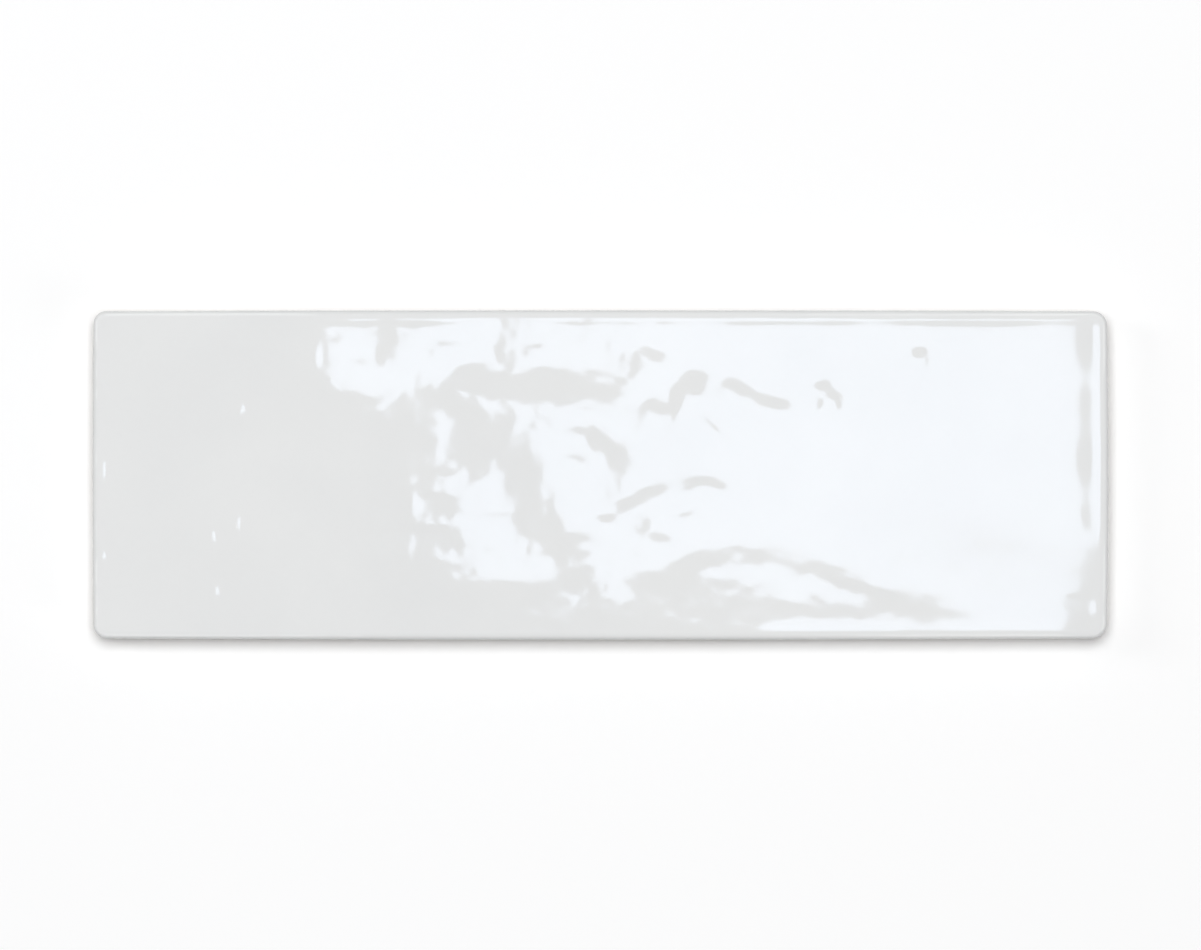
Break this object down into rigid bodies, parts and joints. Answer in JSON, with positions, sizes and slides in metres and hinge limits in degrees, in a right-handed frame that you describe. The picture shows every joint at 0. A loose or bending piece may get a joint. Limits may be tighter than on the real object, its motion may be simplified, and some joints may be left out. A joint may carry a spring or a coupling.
{
  "type": "subway tile",
  "caption": "Rectangular white glazed ceramic wall tile with a glossy, gently rippled face, soft uneven edges and a keyed back for bonding to a wall.",
  "frame": {"origin": "centre of the back, on the plane that the tile rests on or is bonded to", "axes": "+X along the length, +Y across the width, +Z out of the glazed face"},
  "size_m": [0.2, 0.065, 0.009],
  "materials": {
    "tile": "gloss"
  },
  "bodies": {
    "root": {"tile": "tile"}
  },
  "joints": []
}
